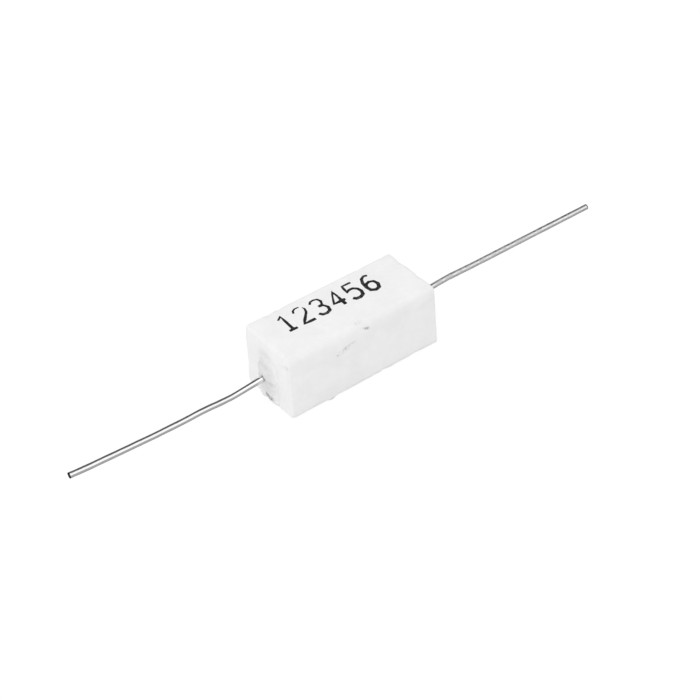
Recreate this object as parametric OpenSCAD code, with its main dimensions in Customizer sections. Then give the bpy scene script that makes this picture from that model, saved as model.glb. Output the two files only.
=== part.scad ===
// Ceramic-cased wirewound resistor with axial leads, lying on its cement side.
// X runs along the leads and Z is up. The origin is the centre of the face that it rests on.

/* [Ceramic case] */
// Length of the case at its open rim
case_l = 22; // [20:0.5:30]
// Width of the case at its open rim
case_w = 9.3; // [8.8:0.1:12]
// Height of the case from the rim to the closed face
case_h = 8.7; // [8.5:0.1:12]
// How far each wall leans in from the rim to the closed face
case_draft = 0.2; // [0:0.05:0.3]
// Thickness of the side walls and end walls
wall_t = 1.25; // [0.9:0.05:1.4]
// Thickness of the closed face
roof_t = 1.2; // [0.8:0.05:1.3]
// Rounding of the outer edges
edge_r = 0.3; // [0.2:0.05:0.6]
// Rounding of the edges inside the trough
trough_r = 0.4; // [0.2:0.05:0.6]
// Width of the slot in each end wall
slot_w = 3.4; // [2.4:0.1:4]
// Ceramic left between the arched top of each slot and the closed face
slot_bridge = 2.3; // [1.9:0.1:2.9]

/* [Cement] */
// How far the cement lies inside the rim
rim_sink = 0; // [0:0.05:0.4]
// How far the cement swells out of each slot
bulge_l = 0.4; // [0.2:0.05:0.6]
// How far the swelling draws in at its sides
bulge_in = 0.6; // [0.3:0.05:0.9]
// How far the swelling leans to the back of the slot's middle
bulge_lean = 0.45; // [0:0.05:0.6]
// Height at which the swelling is full, above the rim
bulge_foot = 0.5; // [0.2:0.05:1]
// Reach of the mound of cement round each lead, from the end face
mound_l = 0.7; // [0.6:0.05:1.2]
// Width of that mound
mound_d = 3; // [1.8:0.1:3.2]
// Width of the crumb of cement left under the left slot
crumb_w = 1.7; // [1:0.1:2.2]
// Height of that crumb
crumb_h = 0.7; // [0.5:0.05:0.9]
// How far the crumb lies to the front of the slot's middle
crumb_offset = 0.1; // [-0.4:0.1:0.4]

/* [Resistance element] */
// Cement between the element and the rim
rim_cover = 1.4; // [0.8:0.1:2]
// Cement between the element and the closed face
roof_cover = 0.5; // [0.15:0.05:0.6]
// Least cement between the element and the side walls
side_cover = 0.3; // [0.15:0.05:0.5]
// Length of the insulating rod
rod_l = 14; // [11:0.5:16]
// Number of turns of resistance wire
wire_turns = 10; // [6:1:12]
// Diameter of the resistance wire
wire_d = 0.5; // [0.3:0.05:0.55]
// How far the last turn of wire laps onto each cap
wire_lap = 0.8; // [0.6:0.05:1.2]
// Length over which the wire climbs from the rod to the cap
climb_l = 0.4; // [0.3:0.05:0.8]
// Depth of each end cap over the rod
cap_depth = 2.4; // [2:0.1:3]
// Wall of each end cap
cap_wall = 0.3; // [0.2:0.05:0.35]
// Thickness of the closed end of each cap
cap_end_t = 0.4; // [0.3:0.05:0.6]

/* [Leads] */
// Diameter of the lead wire
lead_d = 0.75; // [0.5:0.05:1]
// Length of the left lead outside the case
left_lead_l = 26.9; // [20:0.1:38]
// Length of the right lead outside the case
right_lead_l = 29; // [20:0.1:38]
// Width of the welded foot of each lead
foot_d = 1.6; // [1.2:0.1:2.2]
// Height of the welded foot of each lead
foot_l = 0.4; // [0.2:0.05:0.6]
// How far inside the end face each lead first bends
bend_inside = 2.4; // [1.8:0.1:2.8]
// Radius of every bend, at the middle of the wire
bend_r = 8; // [4:0.5:10]
// Slope of the left lead where it leaves the case, in degrees
left_exit_slope = -5.4; // [-8:0.1:3]
// Slope of the middle of the left lead, in degrees
left_mid_slope = 1.4; // [-2:0.1:4]
// Slope of the end of the left lead, in degrees
left_end_slope = 3; // [-2:0.1:5]
// Distance from the left end face to the first outside bend
left_bend_1 = 5; // [3:0.5:8]
// Distance from the left end face to the second outside bend
left_bend_2 = 16; // [12:0.5:18]
// Slope of the right lead where it leaves the case, in degrees
right_exit_slope = 3.3; // [-3:0.1:6]
// Slope of the middle of the right lead, in degrees
right_mid_slope = -1.3; // [-4:0.1:3]
// Slope of the end of the right lead, in degrees
right_end_slope = -0.3; // [-3:0.1:3]
// Distance from the right end face to the first outside bend
right_bend_1 = 5.4; // [3:0.5:8]
// Distance from the right end face to the second outside bend
right_bend_2 = 10; // [9:0.5:16]

/* [Fits] */
// Gap between the cement and whatever it is cast against
cast_fit = 0.02; // [0.01:0.005:0.03]
// Gap between each cap and the rod
cap_fit = 0.02; // [0.01:0.005:0.04]
// Gap between the resistance wire and what it is wound on
wind_fit = 0.07; // [0.065:0.005:0.1]

/* [Hidden] */

// Facets of the rounded case corners and of the turned pieces
corner_fn = 32;
round_fn = 96;
// Steps in one turn of the winding, and sides of its wire
turn_steps = 30;
wire_sides = 8;

// Degrees by which a bend laps over the straights, and how much fuller it is than they are
bend_lap = 0.4;
bend_full = 0.004;
// How far a cutting shape runs past what it cuts, and a slice too thin to matter
spare = 1;
slice = 0.02;

half_l = case_l / 2;
half_w = case_w / 2;
slot_top = case_h - slot_bridge;

// The element lies along the middle of the room that its cement covers leave
room_h = case_h - roof_t - roof_cover - rim_cover;
room_w = case_w - 2 * (wall_t + case_draft + side_cover);
axis_z = rim_cover + room_h / 2;
element_r = min(room_h, room_w) / 2;
cap_r = element_r - wire_d - wind_fit;
rod_r = cap_r - cap_wall - cap_fit;
rod_end = rod_l / 2;
cap_rim_x = rod_end - cap_depth;
cap_face_x = rod_end + cap_fit + cap_end_t;

ceramic_white = [0.93, 0.93, 0.92];
cement_grey = [0.84, 0.84, 0.82];
rod_cream = [0.86, 0.83, 0.72];
alloy_grey = [0.55, 0.53, 0.5];
tin_plate = [0.72, 0.73, 0.74];
tinned_wire = [0.78, 0.78, 0.79];

// The drafted block that both the outside of the case and its trough are made from:
// rounded at the closed face and at the upright corners, square at the rim
module drafted_block(half_x, half_y, top_z, r, below = 0) {
    hull()
        for (sx = [-1, 1], sy = [-1, 1]) {
            translate([sx * (half_x - case_draft - r), sy * (half_y - case_draft - r), top_z - r])
                sphere(r = r, $fn = corner_fn);
            translate([sx * (half_x - r), sy * (half_y - r), -below])
                cylinder(r = r, h = max(below, slice), $fn = corner_fn);
        }
}

module case_outside() {
    drafted_block(half_l, half_w, case_h, edge_r);
}

// Space inside the trough, with its mouth carried on below the rim
module trough_space(inset = 0) {
    drafted_block(half_l - wall_t - inset, half_w - wall_t - inset, case_h - roof_t - inset,
                  trough_r, below = spare);
}

// Upright stretch of the arched slot's outline, as thick as asked along X, open below the rim
module slot_piece(thick, inset = 0) {
    arch_r = slot_w / 2 - inset;
    arch_z = slot_top - slot_w / 2;
    translate([0, 0, arch_z])
        rotate([0, 90, 0])
            cylinder(r = arch_r, h = thick, $fn = round_fn);
    translate([0, -arch_r, -spare])
        cube([thick, 2 * arch_r, arch_z + spare]);
}

module ceramic_case() {
    color(ceramic_white)
        difference() {
            case_outside();
            trough_space();
            translate([-half_l - spare, 0, 0])
                slot_piece(case_l + 2 * spare);
        }
}

// Wire along +X that bends in the XZ plane. Each step is a straight run and the bend after it,
// in degrees, positive upwards. A bend is a little fuller than the straights and laps over them,
// so that the pieces always fuse.
module bent_wire(steps, r, i = 0) {
    run = steps[i][0];
    turn = steps[i][1];
    rotate([0, 90, 0])
        cylinder(r = r, h = run, $fn = round_fn);
    if (i < len(steps) - 1) {
        side = turn < 0 ? -1 : 1;
        sweep = abs(turn) + 2 * bend_lap;
        translate([run, 0, side * bend_r])
            rotate([90, 0, 0])
                rotate([0, 0, side > 0 ? -90 - bend_lap : 90 + bend_lap - sweep])
                    rotate_extrude(angle = sweep, $fn = round_fn)
                        translate([bend_r, 0])
                            circle(r = r + bend_full, $fn = round_fn);
        translate([run + bend_r * sin(abs(turn)), 0, side * bend_r * (1 - cos(turn))])
            rotate([0, -turn, 0])
                bent_wire(steps, r, i + 1);
    }
}

// Length that a bend takes from the straight run on each side of it
function bend_share(turn) = bend_r * tan(abs(turn) / 2);

// Runs and bends of a lead, from the cap to its tip. Corners are where the straight runs would meet.
function lead_steps(exit_slope, mid_slope, end_slope, bend_1, bend_2, out_l) =
    let (
        corner_in = half_l - bend_inside,
        bends = [exit_slope, mid_slope - exit_slope, end_slope - mid_slope],
        run_in = corner_in - cap_face_x,
        run_exit = (bend_inside + bend_1) / cos(exit_slope),
        run_mid = (bend_2 - bend_1) / cos(mid_slope),
        run_end = (out_l - bend_2) / cos(end_slope)
    )
    [[run_in - bend_share(bends[0]), bends[0]],
     [run_exit - bend_share(bends[0]) - bend_share(bends[1]), bends[1]],
     [run_mid - bend_share(bends[1]) - bend_share(bends[2]), bends[2]],
     [run_end - bend_share(bends[2]), 0]];

left_steps = lead_steps(left_exit_slope, left_mid_slope, left_end_slope,
                        left_bend_1, left_bend_2, left_lead_l);
right_steps = lead_steps(right_exit_slope, right_mid_slope, right_end_slope,
                         right_bend_1, right_bend_2, right_lead_l);

// Puts a shape drawn for the right end, with its start at the cap's face, at either end
module at_end(side) {
    if (side > 0)
        translate([0, 0, axis_z]) children();
    else
        translate([0, 0, axis_z]) mirror([1, 0, 0]) children();
}

// Lead with its welded foot, grown all round by a given amount
module lead(steps, grow = 0) {
    translate([cap_face_x, 0, 0]) {
        bent_wire(steps, lead_d / 2 + grow);
        rotate([0, 90, 0])
            cylinder(r1 = foot_d / 2 + grow, r2 = lead_d / 2 + grow, h = foot_l + grow, $fn = round_fn);
    }
}

module lead_left() {
    color(tinned_wire) at_end(-1) lead(left_steps);
}

module lead_right() {
    color(tinned_wire) at_end(1) lead(right_steps);
}

module core_rod() {
    color(rod_cream)
        translate([-rod_end, 0, axis_z])
            rotate([0, 90, 0])
                cylinder(r = rod_r, h = rod_l, $fn = round_fn);
}

// Pressed cup that closes over the right end of the rod
module end_cap() {
    difference() {
        translate([cap_rim_x, 0, 0])
            rotate([0, 90, 0])
                cylinder(r = cap_r, h = cap_face_x - cap_rim_x, $fn = round_fn);
        translate([cap_rim_x - spare, 0, 0])
            rotate([0, 90, 0])
                cylinder(r = rod_r + cap_fit, h = cap_depth + cap_fit + spare, $fn = round_fn);
    }
}

module end_cap_left() {
    color(tin_plate) at_end(-1) end_cap();
}

module end_cap_right() {
    color(tin_plate) at_end(1) end_cap();
}

// The winding runs evenly from cap to cap. Near each cap its radius climbs from the rod's
// surface to the cap's, so that the last turn lies on the cap where it is welded.
wind_end_x = cap_rim_x + wire_lap;
wind_pitch = 2 * wind_end_x / wire_turns;
climb_end_x = cap_rim_x - wire_d / 2 - wind_fit;
rod_seat_r = rod_r + wind_fit + wire_d / 2;
cap_seat_r = cap_r + wind_fit + wire_d / 2;

function ease(t) = let (u = min(1, max(0, t))) u * u * (3 - 2 * u);
function wind_x(a) = -wind_end_x + wind_pitch * a / 360;
function wind_r(a) =
    rod_seat_r + (cap_seat_r - rod_seat_r) * ease((abs(wind_x(a)) - climb_end_x + climb_l) / climb_l);
function wind_centre(a) = [wind_x(a), wind_r(a) * cos(a), wind_r(a) * sin(a)];
function unit(v) = v / norm(v);

// One ring of points round the wire, square to its run
function wire_ring(a, r) =
    let (
        along = unit(wind_centre(a + 1) - wind_centre(a - 1)),
        side = unit(cross(along, [0, cos(a), sin(a)])),
        out = cross(side, along)
    )
    [for (k = [0 : wire_sides - 1])
        wind_centre(a) + r * (cos(360 * k / wire_sides) * out + sin(360 * k / wire_sides) * side)];

// The helical wire as one swept solid
module winding(r, end_grow = 0) {
    steps = wire_turns * turn_steps;
    last_a = 360 * wire_turns;
    extra_a = 360 * end_grow / (2 * PI * cap_seat_r);
    rings = [for (i = [0 : steps]) wire_ring(-extra_a + (last_a + 2 * extra_a) * i / steps, r)];
    points = [for (ring = rings) for (p = ring) p];
    walls = [for (i = [0 : steps - 1], k = [0 : wire_sides - 1])
        let (n = (k + 1) % wire_sides, base = i * wire_sides)
        [base + k, base + wire_sides + k, base + wire_sides + n, base + n]];
    start = [for (k = [0 : wire_sides - 1]) k];
    finish = [for (k = [wire_sides - 1 : -1 : 0]) steps * wire_sides + k];
    polyhedron(points, concat(walls, [start, finish]), convexity = 10);
}

module resistance_winding() {
    color(alloy_grey)
        translate([0, 0, axis_z])
            winding(wire_d / 2);
}

// Everything of the element that the cement is cast round, grown by the casting gap
module element_space() {
    translate([-rod_end, 0, axis_z])
        rotate([0, 90, 0])
            cylinder(r = rod_r + cast_fit, h = rod_l, $fn = round_fn);
    for (side = [-1, 1])
        at_end(side)
            translate([cap_rim_x - cast_fit, 0, 0])
                rotate([0, 90, 0])
                    cylinder(r = cap_r + cast_fit, h = cap_face_x - cap_rim_x + 2 * cast_fit,
                             $fn = round_fn);
    at_end(-1) lead(left_steps, cast_fit);
    at_end(1) lead(right_steps, cast_fit);
    translate([0, 0, axis_z])
        winding(wire_d / 2 + cast_fit, cast_fit);
}

// Cement that swells out of the right slot. Its outer end is drawn in, leans to the back and
// starts a little above the rim.
module bulge() {
    hull() {
        translate([half_l - case_draft - slice, 0, 0])
            slot_piece(slice, cast_fit);
        translate([half_l + bulge_l - slice, bulge_lean, 0])
            intersection() {
                slot_piece(slice, bulge_in);
                translate([-spare, -slot_w, bulge_foot])
                    cube([2 * spare, 2 * slot_w, case_h]);
            }
    }
}

// Mound of cement round a lead: part of an oval dome, turned about the lead. Its root is sunk
// into the plug in the slot.
module mound(exit_slope) {
    root_l = case_draft + wall_t / 2;
    dome = [for (a = [0 : 10 : 70]) [mound_d / 2 * cos(a), mound_l * sin(a) / sin(70)]];
    translate([half_l - bend_inside, 0, 0])
        rotate([0, 90 - exit_slope, 0])
            translate([0, 0, bend_inside / cos(exit_slope)])
                rotate_extrude($fn = round_fn)
                    polygon(concat([[0, -root_l], [mound_d / 2, -root_l]], dome, [[0, mound_l]]));
}

// Lump of cement left at the rim under the left slot, half sunk in the swelling
module crumb() {
    r = crumb_h / 2;
    end_y = crumb_w / 2 - r;
    translate([-half_l, -crumb_offset, 0])
        hull() {
            translate([r / 4, end_y, r])
                sphere(r = r, $fn = corner_fn);
            translate([-r / 3, 0, r])
                sphere(r = r, $fn = corner_fn);
            translate([r / 4, -end_y, r * 3 / 4])
                sphere(r = r * 3 / 4, $fn = corner_fn);
        }
}

module cement_fill() {
    plug_end = half_l - case_draft;
    color(cement_grey)
        difference() {
            union() {
                trough_space(cast_fit);
                translate([-plug_end, 0, 0])
                    slot_piece(2 * plug_end, cast_fit);
                bulge();
                mirror([1, 0, 0]) bulge();
                at_end(-1) mound(left_exit_slope);
                at_end(1) mound(right_exit_slope);
                crumb();
            }
            element_space();
            translate([-case_l, -case_w, rim_sink - 2 * spare])
                cube([2 * case_l, 2 * case_w, 2 * spare]);
        }
}

ceramic_case();
cement_fill();
core_rod();
resistance_winding();
end_cap_left();
end_cap_right();
lead_left();
lead_right();
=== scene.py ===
import math

import bpy
from mathutils import Matrix, Vector, noise


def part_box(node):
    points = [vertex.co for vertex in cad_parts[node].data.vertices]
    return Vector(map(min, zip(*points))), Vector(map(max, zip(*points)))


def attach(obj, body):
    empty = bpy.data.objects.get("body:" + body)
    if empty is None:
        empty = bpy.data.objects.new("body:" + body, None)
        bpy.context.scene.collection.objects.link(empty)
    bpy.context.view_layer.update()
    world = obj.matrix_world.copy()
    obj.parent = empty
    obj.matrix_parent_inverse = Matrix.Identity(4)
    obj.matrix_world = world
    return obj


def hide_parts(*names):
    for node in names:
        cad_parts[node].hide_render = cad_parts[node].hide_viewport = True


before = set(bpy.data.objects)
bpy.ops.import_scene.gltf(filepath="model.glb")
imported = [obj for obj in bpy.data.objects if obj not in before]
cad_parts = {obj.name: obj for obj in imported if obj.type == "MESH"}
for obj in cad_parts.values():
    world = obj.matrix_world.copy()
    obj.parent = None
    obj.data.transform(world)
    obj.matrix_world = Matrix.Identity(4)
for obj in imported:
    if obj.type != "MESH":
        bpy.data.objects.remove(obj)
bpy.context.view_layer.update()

# Ceramic case: one trough of white ceramic, pressed with a slight draft, fired and tumbled, so its
# edges are soft and a little chipped. It lies on its open side, and an arched slot in each end
# wall lets a lead out. Modelled in millimetres and brought to metres when it is finished.
MM = 0.001
case_low, case_high = (Vector(corner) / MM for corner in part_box("ceramic_case"))
case_l, case_w, case_h = case_high - case_low
half_l = case_l / 2
half_w = case_w / 2
draft = 0.2
wall_t = 1.25
roof_t = 1.2
slot_w = 3.4
slot_top = 6.4
case_grain = 0.135


def pick_only(piece):
    """Leaves only this object selected, and active."""
    bpy.ops.object.select_all(action="DESELECT")
    piece.select_set(True)
    bpy.context.view_layer.objects.active = piece


def newest(name):
    """Names the object that an operator has just added, and puts its place in its mesh."""
    piece = bpy.context.object
    piece.name = name
    piece.data.name = name
    pick_only(piece)
    bpy.ops.object.transform_apply(location=True, rotation=True, scale=True)
    return piece


def pick_faces(piece, wanted):
    """Enters edit mode with only the faces selected whose normal is wanted."""
    pick_only(piece)
    bpy.ops.object.mode_set(mode="EDIT")
    bpy.ops.mesh.select_mode(type="FACE")
    bpy.ops.mesh.select_all(action="DESELECT")
    bpy.ops.object.mode_set(mode="OBJECT")
    for face in piece.data.polygons:
        face.select = wanted(face.normal)
    bpy.ops.object.mode_set(mode="EDIT")


def finish_with(piece, kind, **settings):
    """Adds one modifier with these settings and applies it."""
    pick_only(piece)
    modifier = piece.modifiers.new(kind.title(), kind)
    for name, value in settings.items():
        setattr(modifier, name, value)
    bpy.ops.object.modifier_apply(modifier=modifier.name)


def cut_away(piece, cutter):
    """Cuts one shape out of another and throws the cutter away."""
    finish_with(piece, "BOOLEAN", operation="DIFFERENCE", object=cutter, solver="EXACT")
    bpy.data.objects.remove(cutter)


def uneven(name, size, depth):
    """Soft lumps of a given size, in millimetres, for a Displace modifier."""
    lumps = bpy.data.textures.new(name, "CLOUDS")
    lumps.noise_scale = size
    lumps.noise_depth = depth
    lumps.noise_basis = "ORIGINAL_PERLIN"
    return lumps


def bring_to_metres(piece):
    """Scales a finished piece from millimetres to metres, about the origin."""
    pick_only(piece)
    bpy.ops.transform.resize(value=(MM, MM, MM), center_override=(0, 0, 0))
    bpy.ops.object.transform_apply(location=True, rotation=True, scale=True)
    bpy.ops.object.shade_smooth()


bpy.ops.mesh.primitive_cube_add(size=1, location=(0, 0, case_h / 2), scale=(case_l, case_w, case_h))
case = newest("case_body")

pick_faces(case, lambda normal: normal.z > 0.9)
bpy.ops.transform.resize(value=(1 - 2 * draft / case_l, 1 - 2 * draft / case_w, 1))
bpy.ops.object.mode_set(mode="OBJECT")

# How round the outer edges are: softest at the front of the closed face, where the case has been
# handled, and nearly sharp at the back
front_top_edge = 0.6
left_top_edge = 0.4
right_top_edge = 0.15
front_left_corner = 0.34
right_corners = 0.2
back_edges = 0.08
rim_edges = 0.12


def edge_rounding(a, b):
    """How round the outer edge between two corners of the case is."""
    if abs(a.z - b.z) > 1:
        if a.x > 0:
            return right_corners
        return front_left_corner if a.y < 0 else back_edges
    if max(a.z, b.z) < 1:
        return rim_edges
    if a.y < 0 and b.y < 0:
        return front_top_edge
    if a.y > 0 and b.y > 0:
        return back_edges
    return left_top_edge if a.x < 0 else right_top_edge


weights = case.data.attributes.new("bevel_weight_edge", "FLOAT", "EDGE")
corners = case.data.vertices
for edge in case.data.edges:
    ends = (corners[number].co for number in edge.vertices)
    weights.data[edge.index].value = edge_rounding(*ends) / front_top_edge
finish_with(case, "BEVEL", limit_method="WEIGHT", width=front_top_edge, segments=8)

pick_faces(case, lambda normal: normal.z < -0.999)
bpy.ops.mesh.inset(thickness=wall_t)
bpy.ops.mesh.extrude_region_move(TRANSFORM_OT_translate={"value": (0, 0, case_h - roof_t)})
bpy.ops.object.mode_set(mode="OBJECT")

arch_r = slot_w / 2
arch_z = slot_top - arch_r
bpy.ops.mesh.primitive_cylinder_add(vertices=64, radius=arch_r, depth=2 * case_l,
                                    location=(0, 0, arch_z), rotation=(0, math.pi / 2, 0))
slot_arch = newest("slot_arch")
bpy.ops.mesh.primitive_cube_add(size=1, location=(0, 0, arch_z / 2 - 1),
                                scale=(2 * case_l, slot_w, arch_z + 2))
slot_foot = newest("slot_foot")
cut_away(case, slot_arch)
cut_away(case, slot_foot)

finish_with(case, "REMESH", mode="VOXEL", voxel_size=case_grain, adaptivity=0.0)
finish_with(case, "SMOOTH", factor=0.5, iterations=3)

# Each chip: where it is, its reach in X, Y and Z, and its depth
case_chips = [
    ((0.6, -4.35, 7.75), (0.55, 0.25, 0.25), 0.16),
    ((-10.9, -3.68, 7.32), (0.4, 0.4, 0.4), 0.15),
    ((-10.7, -2.7, 8.6), (0.3, 0.4, 0.3), 0.07),
    ((-7.5, 4.4, 8.65), (0.5, 0.3, 0.3), 0.09),
    ((-5.9, 4.4, 8.65), (0.4, 0.3, 0.3), 0.07),
    ((2.6, -4.65, 0.0), (0.5, 0.25, 0.25), 0.09),
    ((7.4, -4.65, 0.0), (0.9, 0.2, 0.2), 0.07),
    ((-11.0, -3.4, 0.0), (0.25, 0.5, 0.25), 0.08),
    ((-10.8, 4.4, 7.9), (0.4, 0.35, 0.35), 0.06),
    ((10.75, 2.2, 8.6), (0.35, 0.7, 0.35), 0.09),
    ((10.8, -1.4, 8.55), (0.3, 0.5, 0.3), 0.08),
    ((11.0, 2.9, 0.0), (0.3, 0.6, 0.3), 0.1),
    ((-3.1, 4.65, 0.0), (0.8, 0.3, 0.3), 0.1),
    ((5.9, 4.45, 8.5), (0.6, 0.3, 0.3), 0.09),
]
chip_edge = 1.6

# Each edge rubbed softer than the rest: a point on it, the way it runs, its reach along that way,
# and how far in it has gone
rubbed_edges = [
    ((-6.0, -half_w + draft, case_h), (1, 0, 0), 18.0, (0, 0.28, -0.12)),
    ((-half_l + draft, -3.0, case_h), (0, 1, 0), 6.6, (0.14, 0, -0.14)),
    ((-half_l + draft, -half_w + draft, 7.0), (0, 0, 1), 6.6, (0.2, 0.24, 0)),
]
rub_w = 0.85

# The rim is worn in a band this high, more within this much of its front, where a burr is left
rim_band = 0.35
front_band = 0.4
front_rim_worn = 0.07
burr_x = -5.26
burr_reach = 0.5
burr_out = 0.22

# The case is a little longer at its left end and wider at its closed face than the draft makes it
left_fuller = 1.005
top_wider = 0.012

# What lies within this depth of the outline is outer skin
skin_t = 0.5


def is_outside(co):
    """True on the outer skin of the case, false inside the trough."""
    lean = draft * co.z / case_h
    on_end = abs(co.x) > half_l - lean - skin_t
    return on_end or abs(co.y) > half_w - lean - skin_t or co.z > case_h - skin_t


def way_in(co):
    """The way in from the skin: square to a face, slantwise at an edge."""
    inward = Vector((-co.x / half_l, -co.y / half_w, 1 - 2 * co.z / case_h))
    inward = Vector((axis if abs(axis) > 0.9 else 0 for axis in inward))
    if inward.length > 0:
        inward.normalize()
    return inward


def chip_depth(co):
    """How deep the chips go at a point."""
    deepest = 0.0
    for centre, reach, depth in case_chips:
        offset = co - Vector(centre)
        spread = (offset.x / reach[0]) ** 2 + (offset.y / reach[1]) ** 2 + (offset.z / reach[2]) ** 2
        if spread < chip_edge:
            ragged = 1 + 0.6 * noise.noise(co * 4)
            deepest = max(deepest, depth * ragged * (1 - spread / chip_edge))
    return deepest


def edge_wear(co, inward):
    """How deep the wear along the edges and the rim goes at a point. Less than 0 is the burr."""
    worn = 0.0
    if sum(1 for axis in inward if axis != 0) > 1:
        worn += 0.03 * max(0, noise.noise(co * 1.3 + Vector((7, 3, 1))))
        worn += 0.02 * max(0, noise.noise(co * 3.1))
    if co.z < rim_band and co.y < -half_w + front_band:
        worn += front_rim_worn - burr_out * math.exp(-((co.x - burr_x) / burr_reach) ** 2)
    elif co.z < rim_band and inward.z > 0:
        worn += 0.03 * max(0, noise.noise(Vector((co.x * 1.7, co.y * 1.7, 5))) + 0.2)
    return worn


def rubbed_away(co):
    """How far rubbing has moved a point near the softer edges."""
    moved = Vector()
    for middle, way, reach, gone in rubbed_edges:
        offset = co - Vector(middle)
        along = offset.dot(Vector(way))
        across = (offset - Vector(way) * along).length
        moved += Vector(gone) * max(0, 1 - (along / reach) ** 2) * math.exp(-(across / rub_w) ** 2)
    return moved


for vertex in case.data.vertices:
    co = vertex.co
    if is_outside(co):
        inward = way_in(co)
        co = co + inward * (chip_depth(co) + edge_wear(co, inward)) + rubbed_away(co)
        longer = left_fuller if co.x < 0 else 1.0
        wider = 1 + top_wider * co.z / case_h
        vertex.co = Vector((co.x * longer, max(co.y * wider, -half_w), max(co.z, 0)))

finish_with(case, "DISPLACE", texture=uneven("pressed_waves", 3.0, 1), texture_coords="LOCAL",
            direction="NORMAL", strength=0.03, mid_level=1.0)
bring_to_metres(case)


class Look:
    """The shader nodes of a material, or of the room, and the steps that the finishes are made of."""

    def __init__(self, owner):
        owner.use_nodes = True
        self.owner = owner
        self.nodes = owner.node_tree.nodes
        self.link = owner.node_tree.links.new

    def node(self, kind, **settings):
        """A new node, with these settings or values in its sockets."""
        made = self.nodes.new(kind)
        for name, value in settings.items():
            if name in made.inputs:
                made.inputs[name].default_value = value
            else:
                setattr(made, name, value)
        return made

    def shade(self, sockets):
        """Sets the main shader's sockets, to one value or to what varies over the piece."""
        shader = self.nodes["Principled BSDF"]
        for name, value in sockets.items():
            if isinstance(value, bpy.types.NodeSocket):
                self.link(value, shader.inputs[name])
            else:
                shader.inputs[name].default_value = value

    def in_millimetres(self):
        """Object coordinates, counted in millimetres."""
        place = self.node("ShaderNodeTexCoord")
        scaled = self.node("ShaderNodeVectorMath", operation="SCALE")
        scaled.inputs["Scale"].default_value = 1 / MM
        self.link(place.outputs["Object"], scaled.inputs[0])
        return scaled.outputs["Vector"]

    def axes(self, place):
        """The X, Y and Z of a place, each by itself."""
        split = self.node("ShaderNodeSeparateXYZ")
        self.link(place, split.inputs["Vector"])
        return split.outputs

    def reach_along(self, place, way):
        """How far a place lies along a way."""
        made = self.node("ShaderNodeVectorMath", operation="DOT_PRODUCT")
        made.inputs[1].default_value = way
        self.link(place, made.inputs[0])
        return made.outputs["Value"]

    def lumps(self, place, size, detail=3.0, rough=0.5):
        """Noise whose lumps are about size millimetres across."""
        made = self.node("ShaderNodeTexNoise", Detail=detail, Roughness=rough, Scale=1 / size)
        self.link(place, made.inputs["Vector"])
        return made.outputs["Fac"]

    def pits(self, place, apart, brim, bottom):
        """1 at the bottom of small pits about so far apart, and 0 from their brim outwards."""
        made = self.node("ShaderNodeTexVoronoi", feature="F1", Scale=1 / apart)
        self.link(place, made.inputs["Vector"])
        return self.remap(made.outputs["Distance"], brim, bottom, 0.0, 1.0)

    def smudge(self, place, centre, reach, tilt=0.0, core=0.2):
        """1 in the core of an oval patch and 0 at its edge. Sizes in millimetres, tilt about Y."""
        moved = self.node("ShaderNodeMapping", vector_type="TEXTURE")
        moved.inputs["Location"].default_value = centre
        moved.inputs["Rotation"].default_value = (0, tilt, 0)
        moved.inputs["Scale"].default_value = reach
        self.link(place, moved.inputs["Vector"])
        length = self.node("ShaderNodeVectorMath", operation="LENGTH")
        self.link(moved.outputs["Vector"], length.inputs[0])
        return self.remap(length.outputs["Value"], 1.0, core, 0.0, 1.0)

    def remap(self, value, low, high, to_low, to_high):
        """Takes low..high smoothly to to_low..to_high."""
        made = self.node("ShaderNodeMapRange", interpolation_type="SMOOTHSTEP")
        limits = {"From Min": low, "From Max": high, "To Min": to_low, "To Max": to_high}
        for name, limit in limits.items():
            made.inputs[name].default_value = limit
        self.link(value, made.inputs["Value"])
        return made.outputs["Result"]

    def maths(self, operation, *values):
        """One step of arithmetic on sockets or numbers."""
        made = self.node("ShaderNodeMath", operation=operation)
        for number, value in enumerate(values):
            if isinstance(value, bpy.types.NodeSocket):
                self.link(value, made.inputs[number])
            else:
                made.inputs[number].default_value = value
        return made.outputs[0]

    def plus(self, first, second):
        return self.maths("ADD", first, second)

    def minus(self, first, second):
        return self.maths("SUBTRACT", first, second)

    def times(self, first, second):
        return self.maths("MULTIPLY", first, second)

    def larger(self, first, second):
        return self.maths("MAXIMUM", first, second)

    def blend(self, amount, first, second):
        """Goes from the first colour to the second, each a socket or three numbers."""
        made = self.node("ShaderNodeMix", data_type="RGBA")
        self.link(amount, made.inputs["Factor"])
        for name, value in (("A", first), ("B", second)):
            target = [socket for socket in made.inputs if socket.name == name and socket.type == "RGBA"][0]
            if isinstance(value, bpy.types.NodeSocket):
                self.link(value, target)
            else:
                target.default_value = (*value, 1)
        return [socket for socket in made.outputs if socket.type == "RGBA"][0]

    def bump(self, heights):
        """Stacks bumps, each a height socket and its depth in millimetres, onto the main shader."""
        under = None
        for height, depth in heights:
            made = self.node("ShaderNodeBump", Strength=1.0, Distance=depth * MM)
            self.link(height, made.inputs["Height"])
            if under:
                self.link(under, made.inputs["Normal"])
            under = made.outputs["Normal"]
        self.shade({"Normal": under})


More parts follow.
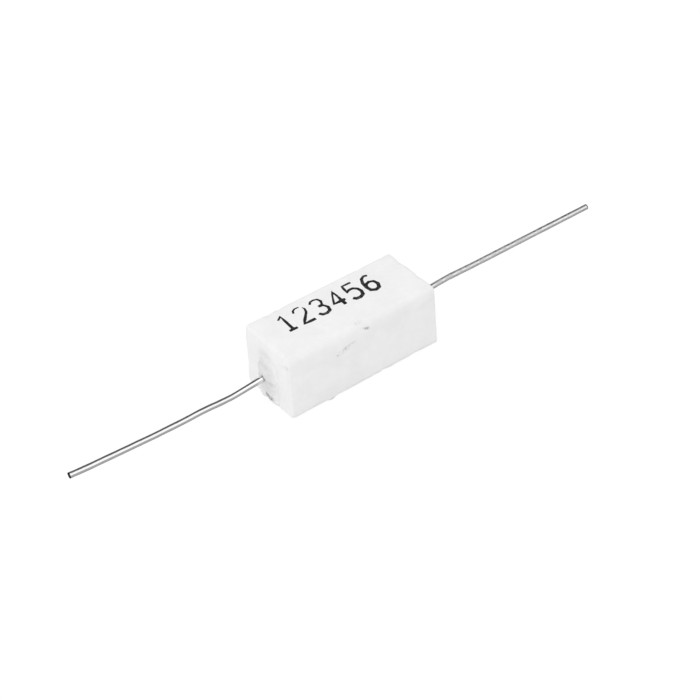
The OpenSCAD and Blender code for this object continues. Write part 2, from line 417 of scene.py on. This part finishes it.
# Each dark mark on the ceramic, some soil and some painted shade as noted: middle, reach in X, Y and Z,
# tilt, and how dark it is
case_soil_and_shade = [
    # Painted shade in the chip by the top front edge, with some soil in it
    ((0.5, -4.35, 7.78), (0.75, 0.5, 0.26), 0.45, 0.85),
    # Soil on the top and front faces
    ((-0.35, -3.75, 8.7), (0.95, 0.45, 0.35), 0.0, 0.27),
    ((-1.6, -4.5, 6.85), (0.75, 0.4, 0.24), 0.0, 0.3),
    ((-2.68, -4.5, 6.62), (0.9, 0.4, 0.32), -0.4, 0.28),
    ((-3.93, -4.5, 6.08), (0.26, 0.4, 0.24), 0.0, 0.6),
    ((-3.0, -4.5, 6.4), (1.9, 0.4, 0.6), -0.3, 0.14),
    # Painted shade in the chip at the front left corner, with some soil in it
    ((-10.9, -3.68, 7.28), (0.5, 0.55, 0.42), 0.0, 0.6),
    # Painted shade that dulls the light on the front left corner and along its edges
    ((-10.6, -4.0, 8.6), (0.5, 0.35, 0.3), 0.0, 0.07),
    ((-10.9, -4.1, 6.0), (0.6, 0.8, 3.4), 0.0, 0.045),
    ((-10.9, -2.6, 7.8), (0.6, 1.6, 1.2), 0.0, 0.025),
    ((-9.9, -2.4, 8.6), (1.6, 2.2, 0.9), 0.0, 0.03),
    # Painted shade round the left slot
    ((-10.9, 0.5, 6.5), (0.6, 2.0, 1.25), 0.0, 0.12),
    ((-10.95, -1.4, 5.2), (0.6, 1.2, 1.9), 0.0, 0.1),
    ((-10.95, -1.7, 2.4), (0.6, 0.8, 3.0), 0.0, 0.06),
    # Painted shade along the bottom rim under the left slot, and below the burr
    ((-11.0, 2.3, 0.05), (0.6, 1.1, 0.25), 0.0, 0.35),
    ((burr_x, -4.6, 0.1), (0.45, 0.3, 0.25), 0.0, 0.4),
    # Painted shade just under the top front edge
    ((9.4, -4.5, 7.0), (2.4, 0.6, 0.6), -0.3, 0.05),
    # Soil on the back and on the right end
    ((6.0, 4.5, 3.4), (1.1, 0.4, 0.3), 0.6, 0.22),
    ((-6.6, 4.5, 5.9), (0.35, 0.4, 0.3), 0.0, 0.3),
    ((10.9, 1.5, 3.0), (0.4, 0.6, 0.5), 0.0, 0.2),
]
faint_mark = 0.12

# Each painted highlight on the chipped front left corner: middle and reach in X, Y and Z
painted_corner_highlights = [
    ((-10.8, -3.85, 8.4), (0.45, 0.36, 0.3)),
    ((-10.85, -3.4, 7.75), (0.4, 0.3, 0.2)),
    ((-10.8, -4.1, 7.85), (0.4, 0.34, 0.24)),
]

# Each outer edge darkened by painted shade: the way out over it, where along that way the shade
# begins and is full, and how dark it is
painted_edge_shade = [
    ((0, 1, 1), 12.8, 13.1, 0.06),
    ((1, 0, 1), 19.1, 19.45, 0.06),
    ((1, -1, 0.046), 15.3, 15.65, 0.05),
    ((-1, 1, 0.046), 15.3, 15.65, 0.05),
    ((-1, 0, 1), 18.7, 19.3, 0.03),
]

ceramic = Look(bpy.data.materials.new("white_ceramic"))
place = ceramic.in_millimetres()
cloudy = ceramic.lumps(place, 4.5, detail=2)
mottle = ceramic.lumps(place, 0.7, detail=4, rough=0.6)
grain = ceramic.lumps(place, 0.11, detail=2)
here_and_there = ceramic.remap(ceramic.lumps(place, 2.2, detail=1), 0.56, 0.66, 0.0, 1.0)
pit = ceramic.times(ceramic.pits(place, 0.55, 0.16, 0.05), here_and_there)
tone = ceramic.plus(ceramic.remap(cloudy, 0.35, 0.65, 0.0, 0.6), ceramic.remap(mottle, 0.35, 0.7, 0.0, 0.4))
colour = ceramic.blend(tone, (0.872, 0.872, 0.869), (0.915, 0.915, 0.913))
# The pits are darkened a little in colour: painted shade in their hollows
colour = ceramic.blend(ceramic.times(pit, 0.12), colour, (0.4, 0.4, 0.4))
# Painted shade darkens the outer edges of the case
for way_out, begins, full, dark in painted_edge_shade:
    edge_shade = ceramic.remap(ceramic.reach_along(place, way_out), begins, full, 0.0, dark)
    colour = ceramic.blend(edge_shade, colour, (0.2, 0.2, 0.2))
# Painted shade: darker along the bottom rim, where the case meets the floor, uneven with the mottle
painted_rim_shade = ceramic.times(ceramic.remap(ceramic.axes(place)["Z"], 0.02, 0.2, 1.0, 0.0),
                         ceramic.remap(mottle, 0.35, 0.6, 0.15, 0.4))
colour = ceramic.blend(painted_rim_shade, colour, (0.35, 0.35, 0.35))
speckle = ceramic.remap(ceramic.lumps(place, 0.22, detail=3, rough=0.6), 0.42, 0.6, 0.15, 1.0)
# Soil and painted shade on the ceramic, patch by patch
for centre, reach, tilt, dark in case_soil_and_shade:
    spot = ceramic.smudge(place, centre, reach, tilt)
    if dark > faint_mark:
        spot = ceramic.times(spot, speckle)
    colour = ceramic.blend(ceramic.times(spot, dark), colour, (0.22, 0.22, 0.22))
# Painted highlights on the chipped front left corner
for centre, reach in painted_corner_highlights:
    corner_highlight = ceramic.times(ceramic.smudge(place, centre, reach), 0.9)
    colour = ceramic.blend(corner_highlight, colour, (0.97, 0.97, 0.97))
ceramic.shade({"Base Color": colour, "Roughness": ceramic.remap(mottle, 0.3, 0.7, 0.62, 0.78),
               "Specular IOR Level": 0.35})
ceramic.bump([(grain, 0.006), (mottle, 0.012), (ceramic.times(pit, -1.0), 0.02)])
case.data.materials.append(ceramic.owner)
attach(case, "root")
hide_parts("ceramic_case")

# Cement: a grey-white mineral paste poured round the element into the trough, struck off level
# with the rim and baked hard. It swells out of both slots, climbs a little way along each lead,
# and has crumbled into a hollow under the left slot, which painted shade darkens nearly to black.
cement_grain = 0.11
seam_fill = 0.12
smear_w = 0.16
closed_r = 0.62
closes_by = 0.13
mound_r = 0.6
mound_out = 0.13
hollow_top = 1.3

# Each lead bends inside the case and leaves it at its own slope, in degrees. That gives its height
# at the end face, to a hundredth of a millimetre, and its rise with each millimetre from there.
lead_axis_z = 4.2
bend_inside = 2.4
exit_slope = {-1: -5.4, 1: 3.3}
exit_rise = {side: round(math.tan(math.radians(slope)), 4) for side, slope in exit_slope.items()}
exit_z = {side: round(lead_axis_z + bend_inside * rise, 2) for side, rise in exit_rise.items()}

cement = bpy.data.objects.new("cement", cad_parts["cement_fill"].data.copy())
bpy.context.collection.objects.link(cement)
cement.data.name = "cement"
cement.data.materials.clear()
pick_only(cement)
bpy.ops.transform.resize(value=(1 / MM, 1 / MM, 1 / MM), center_override=(0, 0, 0))
bpy.ops.object.transform_apply(location=True, rotation=True, scale=True)
bpy.ops.object.mode_set(mode="EDIT")
bpy.ops.mesh.select_all(action="SELECT")
bpy.ops.mesh.remove_doubles(threshold=0.0005)
bpy.ops.object.mode_set(mode="OBJECT")
finish_with(cement, "REMESH", mode="VOXEL", voxel_size=cement_grain, adaptivity=0.0)
finish_with(cement, "SMOOTH", factor=0.5, iterations=4)

for vertex in cement.data.vertices:
    co = vertex.co
    side = math.copysign(1, co.x)
    out = abs(co.x) - (half_l - draft * co.z / case_h)
    # The swollen face of each plug is lumpy
    if out > -0.4:
        lumpy = 0.1 * noise.noise(co * 0.9 + Vector((2, 5, 9))) + 0.05 * noise.noise(co * 2.2)
        lumpy += 0.03 * noise.noise(co * 5.5)
        co.x += side * (lumpy - 0.02) * min(1, (out + 0.4) / 0.5)
    # It fills the slot to its edge and smears a little over it
    if out > -0.6:
        spread = Vector((0, co.y, max(0, co.z - arch_z)))
        away = spread.normalized() if spread.length > 0.8 else Vector()
        ragged = 1 + 0.7 * noise.noise(co * 1.9 + Vector((4, 4, 4)))
        smear = smear_w * ragged * math.exp(-(out / 0.12) ** 2)
        co += away * (seam_fill * min(1, (out + 0.6) / 0.2) + smear)
    # It closes up to the lead and stands in a small mound round it
    lead_z = exit_z[side] + exit_rise[side] * (abs(co.x) - half_l)
    from_lead = math.hypot(co.y, co.z - lead_z)
    if out > -1.0 and from_lead < closed_r:
        closed = from_lead - closes_by * min(1, (closed_r - from_lead) / 0.2)
        co.y *= closed / from_lead
        co.z = lead_z + (co.z - lead_z) * closed / from_lead
    if out > 0.2:
        co.x += side * mound_out * math.exp(-(from_lead / mound_r) ** 2)
    # The foot of the left plug is crumbled into a hollow and stands out a little behind it
    if side < 0 and out > 0 and co.z < hollow_top:
        crumbled = 0.14 * math.exp(-((co.y + 0.05) / 0.65) ** 2)
        crumbled -= 0.07 * math.exp(-((co.y - 1.3) / 0.4) ** 2)
        co.x += crumbled * (1 - co.z / hollow_top)
    # The underside was struck off a little unevenly
    if co.z < 0.05 and abs(co.x) < half_l - 0.3:
        worn = 0.10 * noise.noise(Vector((co.x, co.y, 2)) * 0.7) + 0.06 * noise.noise(co * 2.3)
        co.z += max(0, worn + 0.04)
    co.z = max(co.z, 0.0)
bring_to_metres(cement)

# Each patch of painted shade on the cement at the left slot, over the swelling, its seam and the hollow
# at its foot: middle, reach in X, Y and Z, and how dark it is
cement_painted_shade = [
    ((-11.3, 0.95, 5.85), (0.8, 0.95, 0.95), 0.1),
    ((-11.3, 0.0, 5.4), (0.8, 0.9, 0.65), 0.18),
    ((-11.25, -0.9, 4.8), (0.8, 0.7, 1.0), 0.15),
    ((-11.2, -1.05, 3.6), (0.8, 0.45, 1.0), 0.14),
    ((-11.3, -0.3, 2.4), (0.8, 0.9, 0.9), 0.09),
    # Painted shade in the hollow at the foot of the plug, nearly black
    ((-11.35, -0.3, 0.8), (0.6, 1.15, 0.6), 0.9),
    ((-11.35, 0.06, 0.95), (0.6, 0.6, 0.55), 0.8),
]

baked = Look(bpy.data.materials.new("baked_cement"))
place = baked.in_millimetres()
cloudy = baked.lumps(place, 1.1, detail=3)
sandy = baked.lumps(place, 0.28, detail=4, rough=0.65)
grain = baked.lumps(place, 0.07, detail=2)
hole = baked.pits(place, 0.45, 0.3, 0.08)
tone = baked.plus(baked.remap(cloudy, 0.35, 0.65, 0.0, 0.6), baked.remap(sandy, 0.35, 0.65, 0.0, 0.4))
colour = baked.blend(tone, (0.855, 0.855, 0.851), (0.905, 0.905, 0.902))
# The pits are darkened a little in colour: painted shade in their hollows
colour = baked.blend(baked.times(hole, 0.1), colour, (0.3, 0.3, 0.3))
# Painted shade: the cement darker towards the floor, where it meets it
painted_foot_shade = baked.remap(baked.axes(place)["Z"], 0.02, 0.16, 0.3, 0.0)
colour = baked.blend(painted_foot_shade, colour, (0.35, 0.35, 0.35))
# Painted shade over the plug that swells out of the left slot
painted_shade_and_stain = baked.smudge(place, (-11.3, 0.3, 3.7), (1.3, 2.25, 4.2), core=0.5)
colour = baked.blend(baked.times(painted_shade_and_stain, 0.145), colour, (0.2, 0.2, 0.2))
speckle = baked.remap(sandy, 0.4, 0.6, 0.35, 1.0)
# Painted shade on the plug at the left slot, patch by patch
for centre, reach, dark in cement_painted_shade:
    spot = baked.times(baked.smudge(place, centre, reach), speckle)
    colour = baked.blend(baked.times(spot, dark), colour, (0.2, 0.2, 0.2))
baked.shade({"Base Color": colour, "Roughness": 0.85, "Specular IOR Level": 0.25})
baked.bump([(grain, 0.008), (sandy, 0.03), (baked.times(hole, -1.0), 0.04)])
cement.data.materials.append(baked.owner)
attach(cement, "root")
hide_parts("cement_fill")

# Element: an insulating rod wound with alloy wire, a tinned steel cup pressed on each end. It is
# sealed in the cement, so the solids of the frame stand for it with their own finishes.


def dress(node_name, look):
    """Gives a solid of the frame this finish in place of its plain one."""
    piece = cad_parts[node_name]
    if not piece.material_slots:
        piece.data.materials.append(look.owner)
    for slot in piece.material_slots:
        slot.material = look.owner


rod = Look(bpy.data.materials.new("rod_ceramic"))
cloudy = rod.lumps(rod.in_millimetres(), 0.6)
rod.shade({"Base Color": rod.blend(cloudy, (0.74, 0.7, 0.58), (0.84, 0.8, 0.69)),
           "Roughness": rod.remap(cloudy, 0.3, 0.7, 0.5, 0.7)})
rod.bump([(cloudy, 0.01)])
dress("core_rod", rod)

alloy = Look(bpy.data.materials.new("alloy_wire"))
drawn = alloy.lumps(alloy.in_millimetres(), 0.15, detail=4)
alloy.shade({"Base Color": alloy.blend(drawn, (0.42, 0.4, 0.37), (0.58, 0.56, 0.52)),
             "Roughness": alloy.remap(drawn, 0.3, 0.7, 0.28, 0.45), "Metallic": 1.0})
alloy.bump([(drawn, 0.004)])
dress("resistance_winding", alloy)

cup = Look(bpy.data.materials.new("tinned_cup"))
dull = cup.lumps(cup.in_millimetres(), 0.5, detail=4)
cup.shade({"Base Color": cup.blend(dull, (0.6, 0.61, 0.62), (0.74, 0.75, 0.76)),
           "Roughness": cup.remap(dull, 0.3, 0.7, 0.18, 0.4), "Metallic": 1.0})
cup.bump([(dull, 0.006)])
for cap_name in ("end_cap_left", "end_cap_right"):
    dress(cap_name, cup)

# Leads: tinned copper wire, 0.75 mm thick, welded to the caps and pulled nearly straight. Handling
# has left slight bends, dents and dull patches, and the ends are sheared off square.
lead_r = 0.375
cap_face_x = 7.42
bend_r = 8.0
ring_step = 0.25
ring_sides = 24


def lead_corners(slopes, bends_out, reach):
    """Corners of a lead's path as (distance from the middle, height), from its cap to its tip."""
    corners = [Vector((cap_face_x, lead_axis_z)), Vector((half_l - bend_inside, lead_axis_z))]
    for slope, out in zip(slopes, (*bends_out, reach)):
        run = half_l + out - corners[-1].x
        corners.append(corners[-1] + Vector((run, run * math.tan(math.radians(slope)))))
    return corners


def swept_lead(name, side, corners):
    """A wire made by extruding a ring along straight runs and spinning it round each bend."""
    bpy.ops.mesh.primitive_circle_add(vertices=ring_sides, radius=lead_r, fill_type="NGON",
                                      location=(corners[0].x, 0, corners[0].y),
                                      rotation=(0, math.pi / 2, 0))
    piece = newest(name)
    bpy.ops.object.mode_set(mode="EDIT")
    bpy.ops.mesh.select_all(action="SELECT")
    here = corners[0]
    for number in range(1, len(corners)):
        ahead = (corners[number] - corners[number - 1]).normalized()
        stop = corners[number]
        turn = 0.0
        if number < len(corners) - 1:
            after = (corners[number + 1] - corners[number]).normalized()
            turn = math.atan2(after.y, after.x) - math.atan2(ahead.y, ahead.x)
            stop = corners[number] - ahead * bend_r * math.tan(abs(turn) / 2)
        run = (stop - here).length
        steps = max(1, round(run / ring_step))
        for _ in range(steps):
            bpy.ops.mesh.extrude_region_move(
                TRANSFORM_OT_translate={"value": (ahead.x * run / steps, 0, ahead.y * run / steps)})
        if turn:
            way = math.copysign(1, turn)
            pivot = stop + Vector((-ahead.y, ahead.x)) * way * bend_r
            bpy.ops.mesh.spin(steps=4, angle=turn, center=(pivot.x, 0, pivot.y), axis=(0, 1, 0))
            here = corners[number] + after * bend_r * math.tan(abs(turn) / 2)
    bpy.ops.mesh.select_all(action="SELECT")
    bpy.ops.mesh.remove_doubles(threshold=0.002)
    bpy.ops.object.mode_set(mode="OBJECT")
    if side < 0:
        pick_only(piece)
        bpy.ops.transform.mirror(constraint_axis=(True, False, False), center_override=(0, 0, 0))
        bpy.ops.object.transform_apply(location=True, rotation=True, scale=True)
    bpy.ops.object.mode_set(mode="EDIT")
    bpy.ops.mesh.select_all(action="SELECT")
    bpy.ops.mesh.normals_make_consistent(inside=False)
    bpy.ops.object.mode_set(mode="OBJECT")
    return piece


# Each lead: its side, and its path by the slopes of its runs in degrees, where past the end face
# it bends again, and how far it reaches
lead_paths = {
    "lead_left": (-1, lead_corners((exit_slope[-1], 1.4, 3.0), (5.0, 16.0), 26.9)),
    "lead_right": (1, lead_corners((exit_slope[1], -1.3, -0.3), (5.4, 10.0), 29.0)),
}

# Each slight kink of the left lead: where it is along X, its reach, and how far up it goes
lead_kinks = [
    (-20.2, 1.7, 0.1),
    (-38.2, 1.5, 0.09),
]

tinned = Look(bpy.data.materials.new("tinned_copper"))
place = tinned.in_millimetres()
axes = tinned.axes(place)
stretched = tinned.node("ShaderNodeMapping", vector_type="POINT")
stretched.inputs["Scale"].default_value = (0.06, 1.0, 1.0)
tinned.link(place, stretched.inputs["Vector"])
drawn = tinned.lumps(stretched.outputs["Vector"], 0.12, detail=3)
blotch = tinned.lumps(place, 0.7, detail=4, rough=0.65)
nick = tinned.lumps(place, 0.3, detail=3)

# The right lead has been handled more than the left one, and less again towards its tip
handled = tinned.times(tinned.remap(axes["X"], 6.0, 13.0, 0.12, 1.0),
                       tinned.remap(axes["X"], 28.0, 38.0, 1.0, 0.6))
dull = tinned.times(tinned.remap(blotch, 0.4, 0.6, 0.4, 1.0), handled)
colour = tinned.blend(dull, (0.96, 0.96, 0.96), (0.66, 0.66, 0.67))

# Dark places: painted shade round the foot of each lead where it goes into the cement, painted
# shade under the left one's foot, a rub by its kink, and the skin of its sheared tip
from_middle = tinned.maths("ABSOLUTE", axes["X"])
tip_x = -lead_paths["lead_left"][1][-1].x
painted_entry_shade = tinned.times(tinned.remap(from_middle, 11.9, 12.04, 0.6, 0.0),
                            tinned.remap(axes["Y"], 0.05, 0.3, 1.0, 0.0))
painted_under_shade = tinned.times(tinned.remap(from_middle, 12.3, 13.0, 0.5, 0.0),
                            tinned.remap(axes["Z"], 3.7, 3.82, 1.0, 0.0))
kink_rub = tinned.times(tinned.smudge(place, (-20.9, 0.3, 3.95), (1.5, 0.35, 0.45)), 0.45)
sheared = tinned.remap(axes["X"], tip_x + 0.12, tip_x + 0.03, 0.0, 1.0)
painted_shade_and_stain = tinned.larger(tinned.larger(painted_entry_shade, painted_under_shade), tinned.larger(kink_rub, sheared))
tinned.shade({"Base Color": tinned.blend(painted_shade_and_stain, colour, (0.09, 0.09, 0.09)),
              "Roughness": tinned.remap(dull, 0.0, 1.0, 0.09, 0.4),
              "Metallic": tinned.remap(dull, 0.2, 1.0, 1.0, 0.64),
              "Specular Tint": (0.25, 0.25, 0.26, 1)})
tinned.bump([(drawn, 0.0025), (nick, 0.006)])

for lead_name, (side, corners) in lead_paths.items():
    lead = swept_lead(lead_name + "_wire", side, corners)
    for vertex in lead.data.vertices:
        x = vertex.co.x
        vertex.co.z += sum(rise * math.exp(-((x - at) / reach) ** 2) for at, reach, rise in lead_kinks)
    finish_with(lead, "DISPLACE", texture=uneven(lead_name + "_dents", 1.4, 2), texture_coords="LOCAL",
                direction="NORMAL", strength=0.05, mid_level=0.75)
    bring_to_metres(lead)
    lead.data.materials.append(tinned.owner)
    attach(lead, "root")
    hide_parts(lead_name)

# Marking: a plain row of digits stamped in black ink on the closed face, nearer its back edge and
# a little askew. The stamp pressed harder at the foot of each digit, so the ink is fuller there.
stamped_row = "123456"
digit_w = 1.75
digit_h = 3.05
digit_pitch = 2.43
row_start = Vector((-7.75, 0.2))
row_turn = Matrix.Rotation(math.radians(-1.7), 2)
ink_stroke = 0.46
ink_top = case_h - 0.012
ink_thick = 0.01
ink_grain = 0.05

# Each digit as strokes of points, on a cell one wide and one high
digit_strokes = {
    "1": [[(0.2, 0.8), (0.42, 0.9), (0.55, 1.0), (0.55, 0.66), (0.55, 0.33), (0.55, 0.0)],
          [(0.22, 0.0), (0.55, 0.0), (0.88, 0.0)]],
    "2": [[(0.05, 0.78), (0.16, 0.93), (0.36, 1.0), (0.62, 1.0), (0.85, 0.93), (0.93, 0.76), (0.84, 0.57),
           (0.6, 0.4), (0.3, 0.2), (0.05, 0.0), (0.5, 0.0), (0.97, 0.0)]],
    "3": [[(0.06, 0.84), (0.22, 0.97), (0.5, 1.0), (0.78, 0.95), (0.88, 0.77), (0.76, 0.58), (0.42, 0.53)],
          [(0.42, 0.53), (0.76, 0.5), (0.94, 0.3), (0.84, 0.08), (0.5, 0.0), (0.2, 0.03), (0.03, 0.17)]],
    "4": [[(0.68, 0.0), (0.68, 0.33), (0.68, 0.66), (0.68, 1.0), (0.35, 0.64), (0.03, 0.28), (0.5, 0.28),
           (0.97, 0.28)]],
    "5": [[(0.88, 1.0), (0.5, 1.0), (0.14, 1.0), (0.1, 0.78), (0.06, 0.55), (0.3, 0.64), (0.62, 0.64),
           (0.88, 0.5), (0.95, 0.3), (0.84, 0.09), (0.52, 0.0), (0.2, 0.02), (0.03, 0.13)]],
    "6": [[(0.86, 0.95), (0.6, 1.0), (0.3, 0.9), (0.1, 0.65), (0.05, 0.35), (0.14, 0.1), (0.45, 0.0),
           (0.78, 0.06), (0.94, 0.28), (0.84, 0.5), (0.52, 0.58), (0.2, 0.5), (0.06, 0.33)]],
}

strokes = bpy.data.curves.new("stamped_row", "CURVE")
strokes.dimensions = "3D"
strokes.bevel_depth = ink_stroke / 2
strokes.bevel_resolution = 4
strokes.use_fill_caps = True
for number, digit in enumerate(stamped_row):
    for points in digit_strokes[digit]:
        stroke = strokes.splines.new("POLY")
        stroke.points.add(len(points) - 1)
        for spot, (across, up) in zip(stroke.points, points):
            flat = row_start + row_turn @ Vector((number * digit_pitch + across * digit_w, up * digit_h))
            pressed = 0.98 + 0.05 * number - 0.4 * up
            spot.co = (flat.x, flat.y, 0, 1)
            spot.radius = pressed + 0.2 * noise.noise(Vector((flat.x, flat.y, 0)) * 1.4)
marking = bpy.data.objects.new("stamped_digits", strokes)
bpy.context.collection.objects.link(marking)
pick_only(marking)
bpy.ops.object.convert(target="MESH")
marking = bpy.context.object
finish_with(marking, "REMESH", mode="VOXEL", voxel_size=ink_grain, adaptivity=0.0)
finish_with(marking, "SMOOTH", factor=0.5, iterations=6)
for vertex in marking.data.vertices:
    vertex.co.z = ink_top + vertex.co.z * ink_thick / ink_stroke
bring_to_metres(marking)

ink = Look(bpy.data.materials.new("stamp_ink"))
dry = ink.lumps(ink.in_millimetres(), 0.5, detail=4, rough=0.6)
colour = ink.blend(ink.remap(dry, 0.5, 0.75, 0.0, 1.0), (0.018, 0.018, 0.02), (0.09, 0.09, 0.095))
ink.shade({"Base Color": colour, "Roughness": 0.6, "Specular IOR Level": 0.3})
ink.bump([(dry, 0.003)])
marking.data.materials.append(ink.owner)
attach(marking, "root")

# Floor: a plain pale sheet that the resistor lies on. The camera sees it white and bright metal
# sees it light grey, and it still takes the resistor's soft shadow.
floor_half = 1.5
floor_in_camera = 1.03
floor_in_metal = 0.31
floor_white_share = 0.86
bpy.ops.mesh.primitive_plane_add(size=2 * floor_half, location=(0, 0, 0))
floor = newest("floor")
sheet = Look(bpy.data.materials.new("pale_sheet"))
sheet.shade({"Base Color": (0.95, 0.95, 0.95, 1), "Roughness": 0.9, "Specular IOR Level": 0.1})
ray = sheet.node("ShaderNodeLightPath").outputs
in_metal = sheet.larger(ray["Is Glossy Ray"], ray["Is Transmission Ray"])
strength = sheet.plus(sheet.times(ray["Is Camera Ray"], floor_in_camera),
                      sheet.times(in_metal, floor_in_metal))
seen = sheet.larger(ray["Is Camera Ray"], in_metal)
white = sheet.node("ShaderNodeEmission")
sheet.link(strength, white.inputs["Strength"])
mixed = sheet.node("ShaderNodeMixShader")
sheet.link(sheet.times(seen, floor_white_share), mixed.inputs["Fac"])
sheet.link(sheet.nodes["Principled BSDF"].outputs["BSDF"], mixed.inputs[1])
sheet.link(white.outputs["Emission"], mixed.inputs[2])
sheet.link(mixed.outputs["Shader"], sheet.nodes["Material Output"].inputs["Surface"])
floor.data.materials.append(sheet.owner)

# Light: a plain white room and one weak, soft lamp above and in front. The camera sees the room
# white, and bright metal sees it darker behind the resistor, as on a bench against a wall.
room_light = 0.968
room = Look(bpy.data.worlds.new("studio"))
bpy.context.scene.world = room.owner
way = room.node("ShaderNodeTexCoord").outputs["Generated"]
axes = room.axes(way)

# The room as it lights the resistor: darker towards the far wall, slightly darker towards the near
# one, and brighter towards the left one
far_side = room.reach_along(way, (0.45, 0.87, 0))
left_side = room.reach_along(way, (-0.83, 0.56, 0))
far_wall = room.times(room.remap(far_side, 0.1, 0.7, 0.0, 0.7), room.remap(axes["Z"], 0.2, 0.75, 1.0, 0.0))
left_wall = room.plus(room.remap(left_side, 0.1, 0.8, 0.0, 0.15),
                      room.times(room.remap(left_side, 0.3, 0.8, 0.0, 0.4),
                                 room.remap(axes["Z"], 0.1, 0.5, 1.0, 0.0)))
near_wall = room.times(room.remap(axes["Y"], -0.8, -0.2, 0.2, 0.0),
                       room.remap(axes["Z"], 0.2, 0.75, 1.0, 0.0))
walls = room.plus(room.times(room.minus(1.0, far_wall), room_light), left_wall)
plain = room.nodes["Background"]
plain.inputs["Color"].default_value = (1, 1, 1, 1)
room.link(room.times(walls, room.minus(1.0, near_wall)), plain.inputs["Strength"])

# The room as the camera and bright metal see it
ray = room.node("ShaderNodeLightPath").outputs
in_metal = room.larger(ray["Is Glossy Ray"], ray["Is Transmission Ray"])
behind = room.times(room.remap(axes["Y"], -0.26, 0.16, 1.04, 0.112),
                    room.remap(axes["Z"], 0.1, 0.38, 0.4, 1.0))
backdrop = room.node("ShaderNodeBackground", Color=(1, 1, 1, 1))
room.link(room.plus(ray["Is Camera Ray"], room.times(in_metal, behind)), backdrop.inputs["Strength"])
mixed = room.node("ShaderNodeMixShader")
room.link(room.larger(ray["Is Camera Ray"], in_metal), mixed.inputs["Fac"])
room.link(plain.outputs["Background"], mixed.inputs[1])
room.link(backdrop.outputs["Background"], mixed.inputs[2])
room.link(mixed.outputs["Shader"], room.nodes["World Output"].inputs["Surface"])

top_light = bpy.data.lights.new("top_lamp", "AREA")
top_light.shape = "SQUARE"
top_light.size = 0.4
top_light.energy = 0.25
top_lamp = bpy.data.objects.new("top_lamp", top_light)
bpy.context.collection.objects.link(top_lamp)
top_lamp.location = (-0.03, -0.04, 0.6)
top_lamp.rotation_euler = (-top_lamp.location).to_track_quat("-Z", "Y").to_euler()

# Camera: held a little tilted, above the front left, at the distance where the near and far ends
# of the resistor come out in the photograph's proportions. Its focal length is counted in pixels.
picture_px = 700
focus_px = 1600
camera_turn = math.radians(-34.22)
camera_rise = math.radians(40.74)
camera_roll = math.radians(-3.82)
camera_far = 0.1938
shift_right = -0.88 * MM
shift_up = 2.07 * MM
aim = Vector((0, 0, 4.5 * MM))

back = Vector((math.sin(camera_turn) * math.cos(camera_rise),
               -math.cos(camera_turn) * math.cos(camera_rise), math.sin(camera_rise)))
right = Vector((0, 0, 1)).cross(back).normalized()
up = back.cross(right)
right, up = (math.cos(camera_roll) * right + math.sin(camera_roll) * up,
             -math.sin(camera_roll) * right + math.cos(camera_roll) * up)
lens = bpy.data.cameras.new("camera")
lens.sensor_width = 36
lens.lens = focus_px / picture_px * lens.sensor_width
lens.clip_start = 0.01
lens.clip_end = 10
camera = bpy.data.objects.new("camera", lens)
bpy.context.collection.objects.link(camera)
turn = Matrix((right, up, back)).transposed()
place = aim + camera_far * back - shift_right * right - shift_up * up
camera.matrix_world = Matrix.Translation(place) @ turn.to_4x4()
bpy.context.scene.camera = camera
bpy.context.scene.view_settings.view_transform = "Standard"
